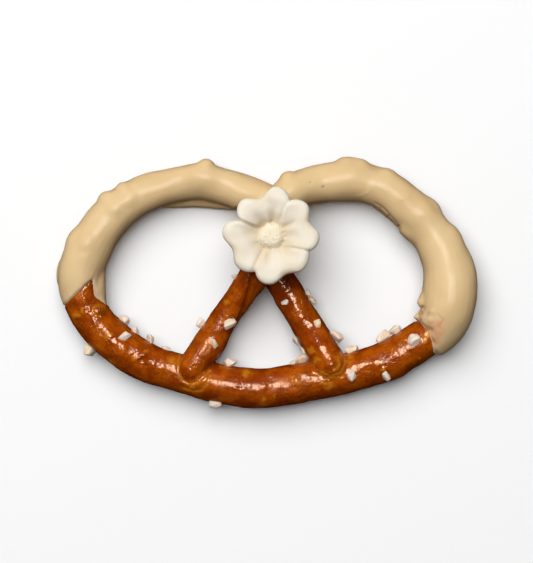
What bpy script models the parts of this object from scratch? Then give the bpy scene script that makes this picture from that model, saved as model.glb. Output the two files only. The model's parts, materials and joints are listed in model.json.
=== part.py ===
"""A small salted pretzel whose two loops were dipped in white chocolate, with a sugar flower on its twist.

It lies flat on its baked side, +Z up, with its base arc towards -Y. The origin is under its middle.
Every size below is in millimetres; MM turns it into Blender's metres.
"""

import math
import random

import bmesh
import bpy
import numpy as np
from mathutils import Euler, Matrix, Vector

MM = 0.001
GAP = 0.3  # clearance between two pieces that touch
COAT_WALL = 0.5  # thinnest white chocolate

# Plan of the rope, x and y with the origin at the middle of the whole, then its outer radius.
# Each strand runs from its pressed end up its leg, through the twist and round its loop.
LEFT_LEG = ((-11.9, -13.8, 2.3), (-9.1, -10.1, 2.5), (-7.7, -7.6, 2.3), (-5.5, -4.4, 2.25), (-3.3, -1.2, 2.3))
RIGHT_LEG = ((10.5, -13.4, 2.6), (8.5, -10.0, 2.6), (7.0, -7.6, 2.5), (5.1, -4.4, 2.5), (3.3, -1.2, 2.5))
LEFT_ARC = (
    (-1.2, 13.4, 2.9), (-4.1, 14.4, 2.95), (-7.0, 15.35, 2.9), (-10.5, 16.1, 2.9), (-14.0, 15.6, 2.8),
    (-18.2, 14.6, 3.0), (-21.5, 13.0, 3.1), (-24.3, 10.8, 3.3), (-26.6, 8.0, 3.45), (-28.3, 4.8, 3.5),
    (-29.5, 1.4, 3.4),
)
RIGHT_ARC = (
    (3.8, 13.9, 2.9), (5.7, 15.0, 2.9), (8.7, 15.75, 3.0), (12.1, 16.0, 3.2), (15.9, 15.75, 3.15),
    (19.4, 14.5, 3.2), (22.1, 12.5, 3.35), (24.5, 10.3, 3.45), (26.5, 7.8, 3.45), (28.1, 5.1, 3.75),
    (29.2, 1.8, 4.05), (29.4, -1.8, 4.45), (28.7, -5.3, 4.2),
)
LEFT_BASE = (
    (-29.4, -2.4, 3.15), (-27.4, -6.2, 3.2), (-24.7, -9.1, 3.25), (-21.7, -11.4, 3.25), (-18.2, -13.3, 3.1),
    (-14.5, -14.4, 3.05), (-9.2, -15.9, 3.2), (-4.1, -16.9, 3.2), (0.1, -17.0, 3.2),
)
RIGHT_BASE = (
    (26.5, -8.4, 3.6), (23.1, -10.7, 3.3), (19.9, -12.5, 3.25), (15.9, -13.9, 3.2), (11.6, -15.0, 3.2),
    (5.0, -16.35, 3.2),
)
# The two places where the strands cross, under the flower.
UPPER_CROSSING = Vector((1.9, 11.9))
LOWER_CROSSING = Vector((0.2, 3.9))
TWIST_BULGE = 1.5  # how far each strand swings out between the crossings
TWIST_RADIUS = 2.6
TWIST_HIGH, TWIST_LOW = 5.0, 2.5  # heights of the over and the under strand

REST_SHARE = 0.86  # height of the rope's middle, as a share of its radius: the rest is the flat underside
COATED_REST_SHARE = 0.95
PRESSED_END_HEIGHT = 4.3  # middle of a leg's end, pressed onto the base arc
LEFT_LEG_HEIGHTS = (PRESSED_END_HEIGHT, 3.7, 3.1, 3.4, 4.4)
RIGHT_LEG_HEIGHTS = (PRESSED_END_HEIGHT, 3.5, 2.7, 2.4, 2.3)
COURSE_STEP = 1.2  # spacing of the points along the rope

# The lower edge of the white chocolate in plan, from the left loop's outside to the right loop's.
DIP_EDGE = (
    (-36.0, -7.2), (-27.2, 0.5), (-26.9, -1.2), (-26.3, -3.2), (-24.0, -3.4), (-22.0, 3.0), (-6.0, 5.5),
    (8.0, 5.5), (21.0, -5.0), (23.4, -6.1), (24.9, -6.6),
    (26.4, -8.0), (25.9, -8.9), (26.7, -9.9), (27.4, -11.3), (29.0, -14.6),
)
DIP_FAR_SIDE = ((45.0, -14.6), (45.0, 30.0), (-45.0, 30.0), (-45.0, -7.2))

# Chocolate that ran down and set as a foot: courses of x, y and radius, just above the table.
FEET = (
    ((-16.4, 12.7, 0.8), (-14.0, 13.0, 1.1), (-10.5, 13.1, 1.15), (-7.2, 12.6, 1.15), (-5.6, 12.0, 0.9)),
    ((-31.6, 6.2, 0.8), (-32.5, 3.8, 0.95), (-32.9, 0.8, 1.0), (-32.6, -1.4, 0.9)),
    ((-26.2, 4.0, 0.75), (-26.5, 1.5, 0.8), (-26.8, -2.4, 0.75)),
    ((27.5, -10.9, 1.1), (28.6, -9.8, 1.6), (29.9, -7.9, 1.9), (30.6, -5.4, 2.0)),
    ((6.2, 13.3, 0.9), (8.0, 13.3, 0.95), (9.8, 13.5, 0.8)),
    ((17.8, 12.4, 0.7), (20.0, 10.8, 0.8), (21.7, 9.2, 0.7)),
)
FOOT_HEIGHT = 0.45

# Salt grains that the chocolate covers, as soft bumps: x, y, radius and how far they stand out.
BUMPS = (
    (-9.4, 18.6, 1.4, 1.0), (-23.3, 15.6, 1.4, 0.6), (-25.9, 13.8, 1.5, 0.6), (-31.2, 7.4, 1.4, 0.15),
    (3.4, 16.6, 1.5, 0.5), (12.9, 19.3, 1.6, 0.9), (14.9, 19.1, 1.5, 0.7), (19.6, 17.6, 1.4, 0.3),
    (27.2, 12.6, 1.4, 0.3), (29.7, 7.9, 1.4, 0.5), (33.0, 3.4, 1.5, 0.3), (22.3, 7.8, 1.4, 0.6),
    (24.9, -3.1, 1.2, 0.6), (-14.6, 17.6, 1.3, 0.3), (22.0, 13.2, 1.2, 0.25),
)

# Salt on the bare dough: x, y, length and width of each grain.
SALT = (
    (-22.5, -6.1, 1.6, 1.2), (-20.7, -7.7, 1.3, 0.9), (-22.4, -8.8, 2.2, 1.5), (-18.5, -9.2, 1.3, 1.4),
    (-28.0, -11.0, 2.0, 1.8), (-15.9, -10.8, 1.4, 0.8), (-10.3, -6.7, 1.3, 1.4), (-5.8, -6.6, 2.0, 1.9),
    (-8.3, -9.8, 1.2, 1.6), (-5.6, -12.7, 2.2, 1.5), (-8.0, -19.4, 2.1, 1.6), (-4.9, 0.8, 1.0, 1.0),
    (3.1, -3.3, 1.1, 0.9), (8.3, -6.8, 1.4, 1.4), (7.1, -1.8, 1.1, 0.9), (7.7, -3.0, 1.0, 1.2),
    (11.4, -8.7, 1.6, 2.0), (13.7, -10.5, 2.0, 1.3), (18.5, -8.3, 1.6, 2.1), (20.5, -7.6, 2.1, 1.4),
    (23.6, -9.4, 1.7, 1.9), (19.1, -15.0, 1.4, 1.4), (13.6, -14.9, 1.4, 1.9), (4.9, -9.6, 0.9, 1.4),
    (6.1, -11.0, 1.2, 1.2), (6.1, -12.4, 1.8, 1.5), (4.6, -12.9, 1.3, 1.0),
)
SALT_CORNERS = 13  # points whose hull is one grain
SALT_SUNK = 0.35  # least depth of a grain in the dough

# Sugar flower: each petal's edges in degrees, its two lobes' radii, and the radius between them.
FLOWER_PLAN = (0.9, 7.1)
PETALS = (
    (-22.0, 62.0, 7.5, 7.35, 6.3), (62.0, 154.0, 7.9, 6.9, 6.1), (154.0, 246.0, 7.8, 6.9, 6.4),
    (246.0, 338.0, 7.7, 7.0, 6.4),
)
NOTCHES = (6.3, 6.1, 5.2, 6.0)  # radius at each petal's starting edge
BUTTON_RADIUS, BUTTON_HEIGHT = 1.75, 3.5
WELL_RADIUS, WELL_HEIGHT = 2.1, 2.2
RIM_SHARE, RIM_HEIGHT = 0.76, 3.9
EDGE_DROP, EDGE_THICKNESS = 0.7, 0.9
SPOON_DEPTH = 0.5  # hollow of each lobe
SEAM_DEPTH, SEAM_WIDTH = 0.7, 0.45  # groove between two petals
BASE_RADIUS = 2.8  # flat underside that sits on the twist
DAB_TOP = 8.1  # the chocolate that holds the flower reaches this height
DAB_RADIUS = 3.6

DOUGH_TRIANGLES, COAT_TRIANGLES, CORE_TRIANGLES = 4200, 2600, 1800
VOXEL = 0.42


def remove_all():
    for obj in list(bpy.data.objects):
        bpy.data.objects.remove(obj)


def collection(name):
    made = bpy.data.collections.new(name)
    bpy.context.scene.collection.children.link(made)
    return made


def material(name, colour, roughness):
    made = bpy.data.materials.new(name)
    made.use_nodes = True
    shader = made.node_tree.nodes["Principled BSDF"]
    shader.inputs["Base Color"].default_value = (*colour, 1.0)
    shader.inputs["Roughness"].default_value = roughness
    shader.inputs["Metallic"].default_value = 0.0
    return made


def new_object(name, mesh, group):
    obj = bpy.data.objects.new(name, mesh)
    group.objects.link(obj)
    return obj


def evaluated_mesh(obj):
    """The object's mesh with its modifiers applied."""
    graph = bpy.context.evaluated_depsgraph_get()
    return bpy.data.meshes.new_from_object(obj.evaluated_get(graph), depsgraph=graph)


def apply_modifiers(obj):
    obj.data = evaluated_mesh(obj)
    obj.modifiers.clear()


def mesh_from_bmesh(name, shape):
    mesh = bpy.data.meshes.new(name)
    shape.to_mesh(mesh)
    shape.free()
    return mesh


def rest_height(x, y, radius):
    """Height of the rope's middle where it lies on the table; the dipped loops are raised by their coat."""
    share = COATED_REST_SHARE if y > -6.0 and abs(x) > 3.0 else REST_SHARE
    return share * radius


def lying(stations):
    return [(x, y, rest_height(x, y, r), r) for x, y, r in stations]


def raised(stations, heights):
    return [(x, y, z, r) for (x, y, r), z in zip(stations, heights)]


def twist(side):
    """A strand from the lower to the upper crossing, swinging out to its side, over first if side is 1."""
    axis = UPPER_CROSSING - LOWER_CROSSING
    across = Vector((axis.y, -axis.x)).normalized()
    stations = []
    for turn in (0.0, 0.5, 1.0):
        plan = LOWER_CROSSING + axis * turn + across * side * TWIST_BULGE * math.sin(math.pi * turn)
        middle = (TWIST_HIGH + TWIST_LOW) / 2
        height = middle + side * (TWIST_HIGH - TWIST_LOW) / 2 * math.cos(math.pi * turn)
        stations.append((plan.x, plan.y, height, TWIST_RADIUS))
    return stations


def smooth_course(stations):
    """Points every COURSE_STEP along a Catmull-Rom curve through the stations, as x, y, z and radius."""
    knots = np.array(stations)
    padded = np.vstack([2 * knots[0] - knots[1], knots, 2 * knots[-1] - knots[-2]])
    points = []
    for i in range(1, len(padded) - 2):
        before, start, end, after = padded[i - 1 : i + 3]
        steps = max(1, round(float(np.linalg.norm(end[:3] - start[:3])) / COURSE_STEP))
        for k in range(steps):
            t = k / steps
            points.append(0.5 * (
                2 * start + (end - before) * t + (2 * before - 5 * start + 4 * end - after) * t**2
                + (3 * start - before - 3 * end + after) * t**3
            ))
    points.append(knots[-1])
    return np.array(points)


def rope_stations():
    """The whole rope, from the left leg's pressed end round the base to the right leg's."""
    left = raised(LEFT_LEG, LEFT_LEG_HEIGHTS) + twist(1) + left_arc_stations() + lying(LEFT_BASE)
    right = raised(RIGHT_LEG, RIGHT_LEG_HEIGHTS) + twist(-1) + right_arc_stations() + lying(RIGHT_BASE)
    return left + right[::-1]


def left_arc_stations():
    return lying(LEFT_ARC)


def right_arc_stations():
    """The right loop's strand comes off the top of the upper crossing and settles onto the table."""
    settling = (4.9, 4.2, 3.3)
    return raised(RIGHT_ARC, settling) + lying(RIGHT_ARC[len(settling) :])


def tube(name, course, group, grow=0.0):
    """A solid rod along the course, its radius changed by grow, with a ball at each end."""
    curve = bpy.data.curves.new(name, "CURVE")
    curve.dimensions = "3D"
    curve.bevel_depth = MM
    curve.bevel_resolution = 6
    curve.use_fill_caps = True
    spline = curve.splines.new("POLY")
    spline.points.add(len(course) - 1)
    for point, (x, y, z, radius) in zip(spline.points, course):
        point.co = (x * MM, y * MM, z * MM, 1.0)
        point.radius = radius + grow
    rod = new_object(name, curve, group)
    shape = bmesh.new()
    shape.from_mesh(evaluated_mesh(rod))
    bpy.data.objects.remove(rod)
    bmesh.ops.remove_doubles(shape, verts=shape.verts, dist=1e-6)
    for x, y, z, radius in (course[0], course[-1]):
        add_ball(shape, (x, y, z), radius + grow)
    return new_object(name, mesh_from_bmesh(name, shape), group)


def add_ball(shape, centre, radius, flatten=1.0):
    place = Matrix.Translation(Vector(centre) * MM) @ Matrix.Diagonal((1, 1, flatten, 1))
    bmesh.ops.create_uvsphere(shape, u_segments=16, v_segments=10, radius=radius * MM, matrix=place)


def ball(name, centre, radius, group, flatten=1.0):
    shape = bmesh.new()
    add_ball(shape, centre, radius, flatten)
    return new_object(name, mesh_from_bmesh(name, shape), group)


def fuse(name, pieces, triangles, group, smoothing=4):
    """One skin over all the pieces, with the creases between them filled a little, and few faces."""
    shape = bmesh.new()
    for piece in pieces:
        shape.from_mesh(piece.data)
        bpy.data.objects.remove(piece)
    fused = new_object(name, mesh_from_bmesh(name, shape), group)
    remesh = fused.modifiers.new("skin", "REMESH")
    remesh.mode = "VOXEL"
    remesh.voxel_size = VOXEL * MM
    smooth = fused.modifiers.new("soften", "SMOOTH")
    smooth.factor = 0.5
    smooth.iterations = smoothing
    apply_modifiers(fused)
    fused.modifiers.new("triangles", "TRIANGULATE")
    apply_modifiers(fused)
    fewer = fused.modifiers.new("fewer", "DECIMATE")
    fewer.ratio = triangles / len(fused.data.polygons)
    apply_modifiers(fused)
    return fused


def combine(target, operation, other, solver="EXACT"):
    """Joins or cuts target with another object or with all of a collection, which is then removed."""
    modifier = target.modifiers.new(operation.lower(), "BOOLEAN")
    modifier.operation = operation
    modifier.solver = solver
    if isinstance(other, bpy.types.Collection):
        modifier.operand_type = "COLLECTION"
        modifier.collection = other
        used = list(other.objects)
    else:
        modifier.object = other
        used = [other]
    apply_modifiers(target)
    for obj in used:
        bpy.data.objects.remove(obj)


def prism(name, outline, low, high, group):
    """A straight block over a flat outline."""
    shape = bmesh.new()
    face = shape.faces.new([shape.verts.new((x * MM, y * MM, low * MM)) for x, y in outline])
    sides = bmesh.ops.extrude_face_region(shape, geom=[face])
    top = [v for v in sides["geom"] if isinstance(v, bmesh.types.BMVert)]
    bmesh.ops.translate(shape, verts=top, vec=(0, 0, (high - low) * MM))
    bmesh.ops.recalc_face_normals(shape, faces=shape.faces)
    return new_object(name, mesh_from_bmesh(name, shape), group)


def dipped_zone(margin, group):
    """The block of space above the dip edge, grown by margin across that edge."""
    edge = [Vector(p) for p in DIP_EDGE]
    away = [Vector((b.y - a.y, a.x - b.x)).normalized() for a, b in zip(edge, edge[1:])]
    before, after = [away[0]] + away, away + [away[-1]]
    moved = [p + (m + n) / (1 + m.dot(n)) * margin for p, m, n in zip(edge, before, after)]
    return prism("dipped_zone", moved + list(DIP_FAR_SIDE), -5.0, 20.0, group)


def below_table(group):
    span = 60.0
    corners = ((-span, -span), (span, -span), (span, span), (-span, span))
    return prism("below_table", corners, -10.0, 0.0, group)


def perch(x, y, course, size):
    """Where a grain of that size sits: a point on the rope's skin, and the way out of the rope there."""
    gaps = np.linalg.norm(course[:, :2] - np.array((x, y)), axis=1)
    reach = np.sqrt(np.maximum(course[:, 3] ** 2 - gaps**2, 0.0))
    beside = gaps - course[:, 3]
    best = int(np.argmax(np.where(beside < 0, course[:, 2] + reach, -beside)))
    middle, radius = Vector(course[best][:3]), float(course[best][3])
    outward = (Vector((x, y)) - middle.xy).normalized()
    half_size = math.hypot(size[0] * outward.x, size[1] * outward.y) / 2
    pull = min(0.0, radius + half_size - SALT_SUNK - float(gaps[best]))
    plan = Vector((x, y)) + outward * pull
    spot = Vector((*plan, middle.z + max(float(reach[best]) * 0.97, 0.1 * radius)))
    return spot, (spot - middle).normalized()


def grain(index, x, y, length, width, course, group):
    """One angular grain of salt: the hull of a few points on a squashed ball."""
    draw = random.Random(100 + index)
    thickness = 0.85 * min(length, width)
    spot, _ = perch(x, y, course, (length, width))
    shape = bmesh.new()
    for k in range(SALT_CORNERS):
        level = 1 - 2 * (k + 0.5) / SALT_CORNERS
        turn = k * math.pi * (3 - math.sqrt(5)) + draw.uniform(-0.35, 0.35)
        ring = math.sqrt(1 - level**2)
        squareness = 1.0 / max(abs(math.cos(turn)), abs(math.sin(turn))) ** 0.5
        shape.verts.new((
            length / 2 * ring * squareness * math.cos(turn) * draw.uniform(0.9, 1.1) * MM,
            width / 2 * ring * squareness * math.sin(turn) * draw.uniform(0.9, 1.1) * MM,
            thickness / 2 * level * draw.uniform(0.9, 1.1) * MM,
        ))
    hull = bmesh.ops.convex_hull(shape, input=shape.verts)
    inner = [v for v in hull["geom_interior"] if isinstance(v, bmesh.types.BMVert)]
    bmesh.ops.delete(shape, geom=inner, context="VERTS")
    bmesh.ops.recalc_face_normals(shape, faces=shape.faces)
    tilt = Euler((draw.uniform(-0.25, 0.25), draw.uniform(-0.25, 0.25), 0.0)).to_matrix().to_4x4()
    shape.transform(Matrix.Translation(spot * MM) @ tilt)
    return new_object(f"salt_{index:02d}", mesh_from_bmesh("salt", shape), group)


def core_course():
    """The rope as it runs inside the chocolate, thin enough to leave room for the coat."""
    course = smooth_course(rope_stations())
    course[:, 3] -= COAT_WALL + GAP
    return course


def make_dough(parts, helpers):
    """The baked rope with its salt: full size where it is bare, thinner inside the chocolate."""
    course = smooth_course(rope_stations())
    dough = fuse("dough", [tube("rope", course, helpers)], DOUGH_TRIANGLES, parts)
    combine(dough, "DIFFERENCE", dipped_zone(GAP, helpers))
    combine(dough, "DIFFERENCE", below_table(helpers))
    core = fuse("core", [tube("core", core_course(), helpers)], CORE_TRIANGLES, helpers)
    combine(dough, "UNION", core)
    salt = collection("salt")
    for index, (x, y, length, width) in enumerate(SALT):
        grain(index, x, y, length, width, course, salt)
    combine(dough, "UNION", salt)
    bpy.data.collections.remove(salt)
    return dough


def make_coating(parts, helpers):
    """The white chocolate: a skin round both loops and over the upper crossing, with its feet and bumps."""
    pieces = []
    loops = (
        twist(1)[1:] + left_arc_stations() + lying(LEFT_BASE)[:4],
        twist(-1)[1:] + right_arc_stations() + lying(RIGHT_BASE)[:4],
    )
    for stations in loops:
        pieces.append(tube("loop", smooth_course(stations), helpers))
    for foot in FEET:
        pieces.append(tube("foot", smooth_course([(x, y, FOOT_HEIGHT, r) for x, y, r in foot]), helpers))
    rope = smooth_course(rope_stations())
    for x, y, radius, proud in BUMPS:
        spot, out = perch(x, y, rope, (radius, radius))
        pieces.append(ball("bump", spot + out * (proud - radius), radius, helpers))
    under_flower = Vector((*FLOWER_PLAN, DAB_TOP - DAB_RADIUS * 0.6))
    pieces.append(ball("dab", under_flower, DAB_RADIUS, helpers, flatten=0.6))
    coating = fuse("coating", pieces, COAT_TRIANGLES, parts, smoothing=3)
    combine(coating, "INTERSECT", dipped_zone(0.0, helpers))
    combine(coating, "DIFFERENCE", below_table(helpers))
    grown = core_course()
    grown[:, 3] += GAP
    core = fuse("core", [tube("core", grown, helpers)], CORE_TRIANGLES, helpers)
    combine(coating, "DIFFERENCE", core)
    return coating


def petal_radius(petal, t):
    """Radius of the flower's outline at t across a petal, which has a lobe at each quarter."""
    _, _, first, second, between = PETALS[petal]
    notch = NOTCHES[petal] * (1 - t) + NOTCHES[(petal + 1) % len(NOTCHES)] * t
    low = notch + (between - notch) * math.sin(math.pi * t)
    flank = t < 0.25 or t > 0.75
    swell = abs(math.sin(2 * math.pi * t)) ** (0.75 if flank else 2.0)
    lobe = first + (second - first) * t
    return low + (lobe - low) * swell


def ramp(x):
    x = min(1.0, max(0.0, x))
    return x * x * (3 - 2 * x)


def petal_height(r, outline, t, width):
    """Height of the flower's upper face at radius r, t across a petal that is width degrees wide."""
    if r <= BUTTON_RADIUS:
        return BUTTON_HEIGHT - 0.35 * (r / BUTTON_RADIUS) ** 2
    if r <= WELL_RADIUS:
        return WELL_HEIGHT
    share = r / outline
    well_share = WELL_RADIUS / outline
    height = WELL_HEIGHT + (RIM_HEIGHT - WELL_HEIGHT) * ramp((share - well_share) / (RIM_SHARE - well_share))
    height -= EDGE_DROP * max(0.0, (share - RIM_SHARE) / (1 - RIM_SHARE)) ** 2
    spoon = math.sin(2 * math.pi * t) ** 2 * math.exp(-(((share - 0.5) / 0.2) ** 2))
    to_seam = min(t, 1 - t) * math.radians(width) * r
    seam = math.exp(-((to_seam / SEAM_WIDTH) ** 2)) * ramp((share - well_share) / 0.3)
    return height - SPOON_DEPTH * spoon - SEAM_DEPTH * seam


def make_flower(parts):
    """The sugar flower: four petals of two lobes round a button, thin at the rim, with a flat base."""
    columns = 18
    top_radii = (BUTTON_RADIUS * 0.5, BUTTON_RADIUS, WELL_RADIUS)
    top_shares = (0.42, 0.56, 0.68, RIM_SHARE, 0.88, 0.96, 1.0)
    under_shares = (0.97, 0.8, 0.6)
    shape = bmesh.new()
    rows = []
    for petal, (start, end, *_) in enumerate(PETALS):
        for column in range(columns):
            t = column / columns
            angle = math.radians(start + (end - start) * t)
            outline = petal_radius(petal, t)
            ring = [(r, petal_height(r, outline, t, end - start)) for r in top_radii]
            ring += [(s * outline, petal_height(s * outline, outline, t, end - start)) for s in top_shares]
            edge_under = ring[-1][1] - EDGE_THICKNESS
            for share in under_shares:
                rise = ramp((share * outline - BASE_RADIUS) / (outline - BASE_RADIUS))
                ring.append((share * outline, edge_under * rise))
            ring.append((BASE_RADIUS, 0.0))
            rows.append([
                shape.verts.new((r * math.cos(angle) * MM, r * math.sin(angle) * MM, z * MM)) for r, z in ring
            ])
    top = shape.verts.new((0, 0, BUTTON_HEIGHT * MM))
    bottom = shape.verts.new((0, 0, 0))
    for row, following in zip(rows, rows[1:] + rows[:1]):
        shape.faces.new((top, row[0], following[0]))
        shape.faces.new((bottom, following[-1], row[-1]))
        for k in range(len(row) - 1):
            shape.faces.new((row[k], row[k + 1], following[k + 1], following[k]))
    bmesh.ops.recalc_face_normals(shape, faces=shape.faces)
    shape.transform(Matrix.Translation(Vector((*FLOWER_PLAN, DAB_TOP + GAP)) * MM))
    return new_object("flower", mesh_from_bmesh("flower", shape), parts)


def main():
    remove_all()
    parts = collection("dipped_pretzel")
    helpers = collection("helpers")
    made = (
        (make_dough(parts, helpers), material("baked_crust", (0.25, 0.07, 0.01), 0.3)),
        (make_coating(parts, helpers), material("white_chocolate", (0.74, 0.52, 0.26), 0.35)),
        (make_flower(parts), material("sugar_paste", (0.85, 0.78, 0.65), 0.6)),
    )
    for obj, finish in made:
        obj.data.materials.clear()
        obj.data.materials.append(finish)
        obj.data.shade_smooth()


main()
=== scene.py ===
"""The looks of the dipped pretzel: its glossy crust, its salt, the white chocolate and the sugar flower.

Tables are in millimetres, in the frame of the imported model. MM turns them into Blender's metres.
"""

import json
import math
import random

import bmesh
import bpy
import numpy as np
from mathutils import Matrix, Vector

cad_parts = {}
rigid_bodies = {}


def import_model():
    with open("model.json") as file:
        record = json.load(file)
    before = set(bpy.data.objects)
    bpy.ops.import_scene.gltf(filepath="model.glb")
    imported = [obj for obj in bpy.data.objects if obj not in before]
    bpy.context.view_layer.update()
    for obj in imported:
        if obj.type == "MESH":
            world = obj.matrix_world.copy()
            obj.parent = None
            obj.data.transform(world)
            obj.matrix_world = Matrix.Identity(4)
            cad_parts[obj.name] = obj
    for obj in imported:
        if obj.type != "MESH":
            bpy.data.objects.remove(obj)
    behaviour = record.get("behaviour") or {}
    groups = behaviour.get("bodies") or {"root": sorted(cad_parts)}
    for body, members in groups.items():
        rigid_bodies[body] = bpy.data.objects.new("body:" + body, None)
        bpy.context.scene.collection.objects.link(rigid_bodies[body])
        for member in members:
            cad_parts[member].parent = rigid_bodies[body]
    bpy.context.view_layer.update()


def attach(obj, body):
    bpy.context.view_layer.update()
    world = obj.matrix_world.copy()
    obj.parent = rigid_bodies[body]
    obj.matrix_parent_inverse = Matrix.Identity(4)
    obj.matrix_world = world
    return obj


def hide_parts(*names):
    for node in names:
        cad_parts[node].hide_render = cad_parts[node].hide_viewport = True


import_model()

MM = 0.001

# Plan of the rope, as in the CAD but for a closer fit at its right end: x, y and outer radius.
LEFT_LEG = ((-11.9, -13.8, 2.3), (-9.1, -10.1, 2.5), (-7.7, -7.6, 2.3), (-5.5, -4.4, 2.25), (-3.3, -1.2, 2.3))
RIGHT_LEG = ((10.5, -13.4, 2.6), (8.5, -10, 2.6), (7, -7.6, 2.5), (5.1, -4.4, 2.5), (3.3, -1.2, 2.5))
LEFT_ARC = (
    (-1.2, 13.4, 2.9), (-4.1, 14.4, 2.95), (-7, 15.35, 2.9), (-10.5, 16.1, 2.9), (-14, 15.6, 2.8),
    (-18.2, 14.6, 3), (-21.5, 13, 3.1), (-24.3, 10.8, 3.3), (-26.6, 8, 3.45), (-28.3, 4.8, 3.5),
    (-29.5, 1.4, 3.4),
)
RIGHT_ARC = (
    (3.8, 13.9, 2.9), (5.7, 15, 2.9), (8.7, 15.75, 3), (12.1, 16, 3.2), (15.9, 15.75, 3.15),
    (19.4, 14.5, 3.2), (22.1, 12.5, 3.35), (24.5, 10.3, 3.45), (26.5, 7.8, 3.45), (28.1, 5.1, 3.75),
    (29.2, 1.8, 4.05), (29.4, -1.8, 4.45), (28.7, -5.3, 4.2),
)
LEFT_BASE = (
    (-29.4, -2.4, 3.15), (-27.4, -6.2, 3.2), (-24.7, -9.1, 3.25), (-21.7, -11.4, 3.25), (-18.2, -13.3, 3.1),
    (-14.5, -14.4, 3.05), (-9.2, -15.9, 3.2), (-4.1, -16.9, 3.2), (0.1, -17, 3.2),
)
RIGHT_BASE = (
    (26.4, -8.15, 3.15), (23.1, -10.6, 3.25), (19.9, -12.5, 3.25), (15.9, -13.9, 3.2), (11.6, -15, 3.2),
    (5, -16.35, 3.2),
)
UPPER_CROSSING = Vector((1.9, 11.9))
LOWER_CROSSING = Vector((0.2, 3.9))
TWIST_BULGE, TWIST_RADIUS = 1.5, 2.6
TWIST_HIGH, TWIST_LOW = 5.0, 2.5
REST_SHARE, COATED_REST_SHARE = 0.86, 0.95  # height of the middle line for each radius, bare and coated
COATED_ABOVE, COATED_BESIDE = -6.0, 3.0  # the coated share holds above this y, and further out than this x
LEFT_LEG_HEIGHTS = (4.3, 3.7, 3.1, 3.4, 4.4)
RIGHT_LEG_HEIGHTS = (4.3, 3.5, 2.7, 2.4, 2.3)
SETTLING_HEIGHTS = (4.9, 4.2, 3.3)
COURSE_STEP = 0.6
ROD_STEPS, BALL_SEGMENTS, BALL_RINGS = 10, 24, 16
CRUST_VOXEL, CRUST_SMOOTHING = 0.2, 7
COAT_VOXEL, COAT_SMOOTHING = 0.22, 12

# Unevenness of each skin: height, wavelength and seed of its layers of waves.
CRUST_WAVES = ((0.07, 5.0, 3), (0.022, 2.0, 4))
STRAND_WAVES = ((0.016, 1.0, 5),)
COAT_WAVES = ((0.06, 7.0, 6), (0.02, 2.8, 9))
PETAL_WAVES = ((0.05, 2.5, 21),)
BUTTON_WAVES = ((0.03, 0.7, 22), (0.035, 0.36, 23))
WAVE_COUNT = 16
STRAY, STRAY_LENGTH = 0.22, 1.3  # how far round spots are pulled out of shape, and over what length
CRUST_SEED, COAT_SEED = 31, 33
STRAND_GAP = 10.0  # between the end of one strand's length and the start of the next

# The lower edge of the chocolate in plan, from the left loop's outside to the right loop's.
DIP_EDGE = (
    (-36, -7.2), (-27.2, 0.5), (-27, -1), (-26.7, -1.8), (-26.1, -2.7), (-25.4, -3.6), (-22, 3), (-6, 5.5),
    (8, 5.5), (21, -5), (23.4, -6), (24.4, -6.4), (25.3, -7.2), (26.2, -7.5), (26.4, -7.9), (26.1, -8.7),
    (26.7, -9.9), (26.95, -10.8), (27.35, -11.5), (28, -12.2), (29.2, -14.6),
)
# Corners far outside that close the edge into the outline of all that was dipped.
DIPPED_CORNERS = ((45.0, -14.6), (45.0, 30.0), (-45.0, 30.0), (-45.0, -7.2))
LIP, LIP_WIDTH = 0.32, 0.5  # how far the chocolate's edge stands out on the left, and how quickly it rises
RIGHT_LIP, RIGHT_LIP_WIDTH = 0.5, 0.9  # the same on the right, where it ends in a thick drop
RIGHT_FROM = 15.0
INNER_LIP, INNER_STRIP = 0.12, (-27.3, 0.0)  # on the strip down the left loop's inside, between these x
LIP_SINK = 0.02  # how far under the crust's skin the lip starts
EDGE_WAVE, EDGE_SEED = 1.4, 8
EDGE_STRAY, RAGGED_STRAY = 0.04, 0.12  # how far the edge wavers, and how far at the right end
RAGGED_CORNER = (20.0, -8.0)
CUT_BEYOND = 0.9  # the chocolate is cut off this far beyond its edge, inside the crust
COATED_SINK = 0.35  # how far the crust draws back under the chocolate
COATED_FADE = 0.5

# Chocolate that ran down: x, y, height and radius of its middle line.
FEET = (
    ((-16.4, 12.7, 0.5, 0.8), (-14, 13, 0.5, 1.1), (-10.5, 13.1, 0.5, 1.15), (-7.2, 12.75, 0.6, 1.05),
     (-5.3, 12.5, 0.9, 0.9)),
    ((-31.6, 4.8, 0.5, 0.5), (-32.4, 3, 0.6, 0.9), (-32.7, 1.2, 0.7, 1.05), (-32.6, -0.4, 0.6, 0.9),
     (-31.8, -2.2, 0.5, 0.5)),
    ((-27.2, 4.4, 2.6, 1.9), (-27.6, 1.8, 2.9, 2.1), (-27.75, -0.8, 3, 2.2), (-27.5, -2.4, 2.7, 2)),
    ((25.5, -5.2, 3.4, 1.1), (24.5, -5.6, 3.8, 0.85), (23.9, -5.8, 3.8, 0.5)),
    ((29, -9, 1.6, 1.5), (30.1, -7.9, 1.6, 1.85), (30.8, -5.4, 1.5, 2)),
    ((6.2, 13.3, 0.5, 0.9), (8, 13.3, 0.5, 0.95), (9.8, 13.5, 0.5, 0.8)),
    ((17.8, 12.4, 0.6, 0.7), (20, 10.8, 0.6, 0.8), (21.7, 9.2, 0.6, 0.7)),
)
# The dab that holds the flower: height of its middle, radius and how flat it is.
DAB_HEIGHT, DAB_RADIUS, DAB_FLATNESS = 5.9, 3.6, 0.6

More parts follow.
